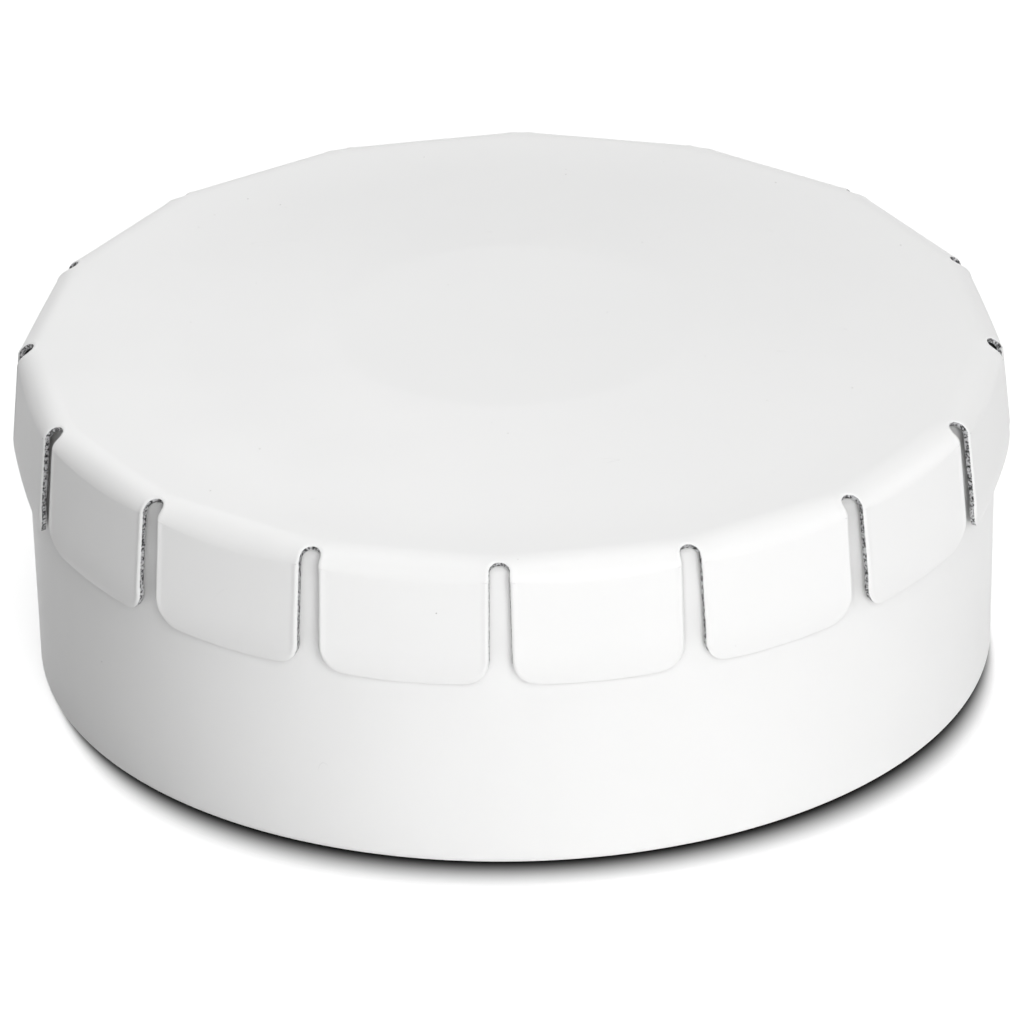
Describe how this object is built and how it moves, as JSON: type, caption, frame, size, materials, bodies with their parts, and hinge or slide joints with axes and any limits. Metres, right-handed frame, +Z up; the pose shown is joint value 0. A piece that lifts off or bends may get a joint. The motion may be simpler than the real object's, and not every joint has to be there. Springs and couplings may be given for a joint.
{
  "type": "mint tin",
  "caption": "Round press-to-open mint tin: shallow drawn tinplate cup with a stamped lid whose spring tabs splay when its middle is pressed.",
  "frame": {"origin": "centre of the base, on the surface the tin stands on", "axes": "+Z up through the middle of the lid; +X and +Y each point through a slot between two tabs"},
  "size_m": [0.0494, 0.0494, 0.0176],
  "materials": {
    "white_lacquer": "smooth white lacquer on tinplate"
  },
  "bodies": {
    "tin": {"tin_body": "white_lacquer"},
    "lid": {"lid_rim": "white_lacquer", "lid_cone": "white_lacquer"},
    "click_panel": {"click_panel": "white_lacquer"},
    "tab_01": {"tab_01": "white_lacquer"},
    "tab_02": {"tab_02": "white_lacquer"},
    "tab_03": {"tab_03": "white_lacquer"},
    "tab_04": {"tab_04": "white_lacquer"},
    "tab_05": {"tab_05": "white_lacquer"},
    "tab_06": {"tab_06": "white_lacquer"},
    "tab_07": {"tab_07": "white_lacquer"},
    "tab_08": {"tab_08": "white_lacquer"},
    "tab_09": {"tab_09": "white_lacquer"},
    "tab_10": {"tab_10": "white_lacquer"},
    "tab_11": {"tab_11": "white_lacquer"},
    "tab_12": {"tab_12": "white_lacquer"},
    "tab_13": {"tab_13": "white_lacquer"},
    "tab_14": {"tab_14": "white_lacquer"},
    "tab_15": {"tab_15": "white_lacquer"},
    "tab_16": {"tab_16": "white_lacquer"}
  },
  "joints": [
    {"name": "lid_lift", "type": "slide", "parent": "tin", "child": "lid", "axis": [0, 0, 1], "range_m": [0, 0.02]},
    {"name": "panel_click", "type": "slide", "parent": "lid", "child": "click_panel", "axis": [0, 0, -1], "range_m": [0, 0.0016], "deforming": ["lid_cone"]},
    {"name": "tab_01_splay", "type": "hinge", "parent": "lid", "child": "tab_01", "pos_m": [0.02366, 0.00471, 0.01583], "axis": [0.1951, -0.9808, 0], "range_deg": [0, 5]},
    {"name": "tab_02_splay", "type": "hinge", "parent": "lid", "child": "tab_02", "pos_m": [0.02006, 0.0134, 0.01583], "axis": [0.5556, -0.8315, 0], "range_deg": [0, 5]},
    {"name": "tab_03_splay", "type": "hinge", "parent": "lid", "child": "tab_03", "pos_m": [0.0134, 0.02006, 0.01583], "axis": [0.8315, -0.5556, 0], "range_deg": [0, 5]},
    {"name": "tab_04_splay", "type": "hinge", "parent": "lid", "child": "tab_04", "pos_m": [0.00471, 0.02366, 0.01583], "axis": [0.9808, -0.1951, 0], "range_deg": [0, 5]},
    {"name": "tab_05_splay", "type": "hinge", "parent": "lid", "child": "tab_05", "pos_m": [-0.00471, 0.02366, 0.01583], "axis": [0.9808, 0.1951, 0], "range_deg": [0, 5]},
    {"name": "tab_06_splay", "type": "hinge", "parent": "lid", "child": "tab_06", "pos_m": [-0.0134, 0.02006, 0.01583], "axis": [0.8315, 0.5556, 0], "range_deg": [0, 5]},
    {"name": "tab_07_splay", "type": "hinge", "parent": "lid", "child": "tab_07", "pos_m": [-0.02006, 0.0134, 0.01583], "axis": [0.5556, 0.8315, 0], "range_deg": [0, 5]},
    {"name": "tab_08_splay", "type": "hinge", "parent": "lid", "child": "tab_08", "pos_m": [-0.02366, 0.00471, 0.01583], "axis": [0.1951, 0.9808, 0], "range_deg": [0, 5]},
    {"name": "tab_09_splay", "type": "hinge", "parent": "lid", "child": "tab_09", "pos_m": [-0.02366, -0.00471, 0.01583], "axis": [-0.1951, 0.9808, 0], "range_deg": [0, 5]},
    {"name": "tab_10_splay", "type": "hinge", "parent": "lid", "child": "tab_10", "pos_m": [-0.02006, -0.0134, 0.01583], "axis": [-0.5556, 0.8315, 0], "range_deg": [0, 5]},
    {"name": "tab_11_splay", "type": "hinge", "parent": "lid", "child": "tab_11", "pos_m": [-0.0134, -0.02006, 0.01583], "axis": [-0.8315, 0.5556, 0], "range_deg": [0, 5]},
    {"name": "tab_12_splay", "type": "hinge", "parent": "lid", "child": "tab_12", "pos_m": [-0.00471, -0.02366, 0.01583], "axis": [-0.9808, 0.1951, 0], "range_deg": [0, 5]},
    {"name": "tab_13_splay", "type": "hinge", "parent": "lid", "child": "tab_13", "pos_m": [0.00471, -0.02366, 0.01583], "axis": [-0.9808, -0.1951, 0], "range_deg": [0, 5]},
    {"name": "tab_14_splay", "type": "hinge", "parent": "lid", "child": "tab_14", "pos_m": [0.0134, -0.02006, 0.01583], "axis": [-0.8315, -0.5556, 0], "range_deg": [0, 5]},
    {"name": "tab_15_splay", "type": "hinge", "parent": "lid", "child": "tab_15", "pos_m": [0.02006, -0.0134, 0.01583], "axis": [-0.5556, -0.8315, 0], "range_deg": [0, 5]},
    {"name": "tab_16_splay", "type": "hinge", "parent": "lid", "child": "tab_16", "pos_m": [0.02366, -0.00471, 0.01583], "axis": [-0.1951, -0.9808, 0], "range_deg": [0, 5]}
  ],
  "couplings": [
    {"joint": "tab_01_splay", "follows": "panel_click", "rad_per_m": 54.54},
    {"joint": "tab_02_splay", "follows": "panel_click", "rad_per_m": 54.54},
    {"joint": "tab_03_splay", "follows": "panel_click", "rad_per_m": 54.54},
    {"joint": "tab_04_splay", "follows": "panel_click", "rad_per_m": 54.54},
    {"joint": "tab_05_splay", "follows": "panel_click", "rad_per_m": 54.54},
    {"joint": "tab_06_splay", "follows": "panel_click", "rad_per_m": 54.54},
    {"joint": "tab_07_splay", "follows": "panel_click", "rad_per_m": 54.54},
    {"joint": "tab_08_splay", "follows": "panel_click", "rad_per_m": 54.54},
    {"joint": "tab_09_splay", "follows": "panel_click", "rad_per_m": 54.54},
    {"joint": "tab_10_splay", "follows": "panel_click", "rad_per_m": 54.54},
    {"joint": "tab_11_splay", "follows": "panel_click", "rad_per_m": 54.54},
    {"joint": "tab_12_splay", "follows": "panel_click", "rad_per_m": 54.54},
    {"joint": "tab_13_splay", "follows": "panel_click", "rad_per_m": 54.54},
    {"joint": "tab_14_splay", "follows": "panel_click", "rad_per_m": 54.54},
    {"joint": "tab_15_splay", "follows": "panel_click", "rad_per_m": 54.54},
    {"joint": "tab_16_splay", "follows": "panel_click", "rad_per_m": 54.54}
  ]
}
